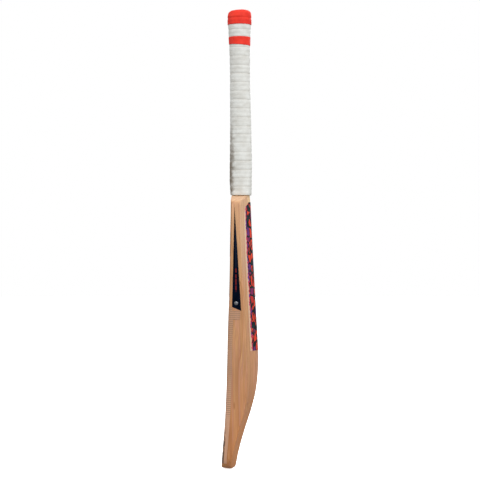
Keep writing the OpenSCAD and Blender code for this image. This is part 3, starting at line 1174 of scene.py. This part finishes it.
@dataclass
class Labels:
    """The labels on the back, the face and both edges, with the badges."""

    film: float = mm(0.3)
    cut_edge: float = mm(0.12)
    smoothing: float = 35.0
    badge_smoothing: float = 50.0
    badge_sides: int = 48
    badge_steps: int = 5
    badge_turn: float = 85.0
    badge_rim: float = mm(0.5)
    badge_rise: float = mm(0.75)
    sides: tuple[str, str] = ("right", "left")

    def build(self) -> None:
        """Makes the labels and the badges."""
        self.flat_label("back_label", BackLabel(), 1)
        self.flat_label("face_label", NavyLabel(motif=Motif.CHEVRONS), -1)
        for side in self.sides:
            self.edge_label(side)
            self.badge(side)

    def flat_label(self, node: str, finish: Finish, facing: int) -> None:
        """A label that lies on the back or the face.

        Args:
            node: The model's node.
            finish: What it is made of.
            facing: 1 for the back and -1 for the face.
        """
        piece = peel(node, f"{node}_print", lambda _, normal: normal.y * facing > OUTWARD)
        work(piece, "SOLIDIFY", thickness=self.film, offset=-1.0)
        smooth(piece, self.smoothing)
        hand_over(piece, node, finish.material())

    def edge_label(self, side: str) -> None:
        """The long navy triangle on one edge, with its cut edges eased."""
        node = f"edge_label_{side}"
        piece = copy_node(node, f"{node}_print")
        work(piece, "BEVEL", width=self.cut_edge, segments=2)
        smooth(piece, self.smoothing)
        hand_over(piece, node, NavyLabel().material())

    def badge(self, side: str) -> None:
        """The round badge on one edge: a rim round a low dome."""
        node = f"edge_badge_{side}"
        low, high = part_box(node)
        out = 1 if side == "right" else -1
        radius = (high.z - low.z) / 2
        base = (high.x - low.x) - self.badge_rise
        inner = low.x if side == "right" else high.x
        middle = (inner + out * base / 2, (low.y + high.y) / 2, (low.z + high.z) / 2)
        drop_selection()
        bpy.ops.mesh.primitive_cylinder_add(
            vertices=self.badge_sides, radius=radius, depth=base, location=middle,
            rotation=(0, math.radians(90), 0))
        piece = name_new(f"{node}_foil")
        dome = radius - self.badge_rim
        with editing(piece):
            pick(piece, Part.FACES, lambda face: face.normal.x * out > 0.9)
            bpy.ops.mesh.inset(thickness=self.badge_rim)
            last_radius, last_rise = dome, 0.0
            for step in range(1, self.badge_steps + 1):
                turn = math.radians(self.badge_turn) * step / self.badge_steps
                next_radius, rise = dome * math.cos(turn), self.badge_rise * math.sin(turn)
                bpy.ops.mesh.inset(thickness=last_radius - next_radius)
                bpy.ops.transform.translate(value=(out * (rise - last_rise), 0, 0))
                last_radius, last_rise = next_radius, rise
        work(piece, "BEVEL", width=self.cut_edge, segments=2,
             angle_limit=math.radians(self.badge_smoothing))
        smooth(piece, self.badge_smoothing)
        hand_over(piece, node, SilverFoil().material())


# ---- studio


@dataclass(frozen=True)
class Paper(Finish):
    """Matt white studio paper, with a barely visible tooth, which glows as if lit evenly."""

    name: str = "white studio paper"
    tooth: Stops = ((0.2, "#F8F8F8"), (0.8, "#FCFCFC"))
    glow: float = 0.75

    def surface(self, tree: Tree, spot: Socket) -> Socket:
        """Builds the shader."""
        tooth = stretched(tree, spot, 3, 3)
        colour = add(tree, RAMP, {0: tooth}, stops=self.tooth)
        return shader(tree, colour, tooth, mm(0.02), 0.9, Specular_IOR_Level=0.0,
                      Emission_Color=(1, 1, 1, 1), Emission_Strength=self.glow)


@dataclass
class Lamp:
    """A soft square light that looks at the middle of the bat."""

    name: str
    place: tuple[float, float, float]
    power: float
    size: float


@dataclass
class Studio:
    """A pale floor, soft lights and the camera."""

    floor_radius: float = 9.0
    floor_sides: int = 96
    azimuth: float = 97.0
    distance: float = 3.0
    lens: float = 117.57
    sensor: float = 36.0
    aim_height: float = mm(-262.1)
    ambient: Span = (0.34, 1.08)
    sky_middle: tuple[float, float, float] = (0.3, 0.35, 0.89)
    sky_turn: Span = (-0.5, 0.9)
    lamps: list[Lamp] = field(default_factory=lambda: [
        Lamp("key", (2.2, 1.3, 1.6), 48, 1.8),
        Lamp("back", (-2.4, 0.4, 1.2), 48, 1.8),
        Lamp("side", (0.4, -2.6, 0.9), 20, 1.8),
    ])

    def build(self) -> None:
        """Sets up the studio round the bat."""
        self.floor()
        self.world()
        for lamp in self.lamps:
            self.light(lamp)
        self.camera()
        bpy.context.scene.view_settings.view_transform = "Standard"

    def floor(self) -> None:
        """A round sheet of paper, level with the toe."""
        low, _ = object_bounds()
        drop_selection()
        bpy.ops.mesh.primitive_circle_add(
            vertices=self.floor_sides, radius=self.floor_radius, fill_type="NGON",
            location=(0, 0, low.z))
        piece = name_new("studio_floor")
        piece.data.materials.append(Paper().material())
        piece.visible_diffuse = piece.visible_glossy = False
        piece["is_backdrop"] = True

    def world(self) -> None:
        """A white surround, which lights the bat less than it shows."""
        world = bpy.data.worlds.new("studio")
        bpy.context.scene.world = world
        world.use_nodes = True
        tree = world.node_tree
        tree.nodes.clear()
        way = add(tree, "ShaderNodeTexCoord", out="Generated")
        facing = add(tree, VECTOR, {0: way, 1: self.sky_middle}, "Value", operation="DOT_PRODUCT")
        (start, end), (least, most) = self.sky_turn, self.ambient
        sky = add(tree, RANGE, {
            VALUE: facing, START: start, END: end, LEAST: least, MOST: most}, **SMOOTH)
        seen = add(tree, "ShaderNodeLightPath", out="Is Camera Ray")
        strength = add(tree, MIX, {SHARE: seen, 2: sky, 3: 1.0})    # 2 and 3 mix plain numbers
        light = add(tree, "ShaderNodeBackground", {"Color": "#FFFFFF", "Strength": strength})
        add(tree, "ShaderNodeOutputWorld", {"Surface": light})

    def light(self, lamp: Lamp) -> None:
        """Hangs one soft light."""
        data = bpy.data.lights.new(lamp.name, "AREA")
        data.energy, data.size = lamp.power, lamp.size
        piece = bpy.data.objects.new(lamp.name, data)
        bpy.context.scene.collection.objects.link(piece)
        piece.location = lamp.place
        aim = Vector((0, 0, self.aim_height)) - piece.location
        piece.rotation_euler = aim.to_track_quat("-Z", "Y").to_euler()

    def camera(self) -> None:
        """Stands the camera level with the middle of the bat, at the near edge."""
        data = bpy.data.cameras.new("camera")
        data.lens, data.sensor_width = self.lens, self.sensor
        piece = bpy.data.objects.new("camera", data)
        bpy.context.scene.collection.objects.link(piece)
        turn = math.radians(self.azimuth)
        back = Vector((math.sin(turn), -math.cos(turn), 0))
        piece.location = back * self.distance + Vector((0, 0, self.aim_height))
        piece.rotation_euler = (-back).to_track_quat("-Z", "Y").to_euler()
        bpy.context.scene.camera = piece


def main() -> None:
    """Builds the bat and the studio."""
    logging.basicConfig(level=logging.INFO, format="%(message)s")
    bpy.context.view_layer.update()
    Blade().build()
    Handle().build()
    Grip().build()
    Labels().build()
    Studio().build()


if __name__ == "__main__":
    main()
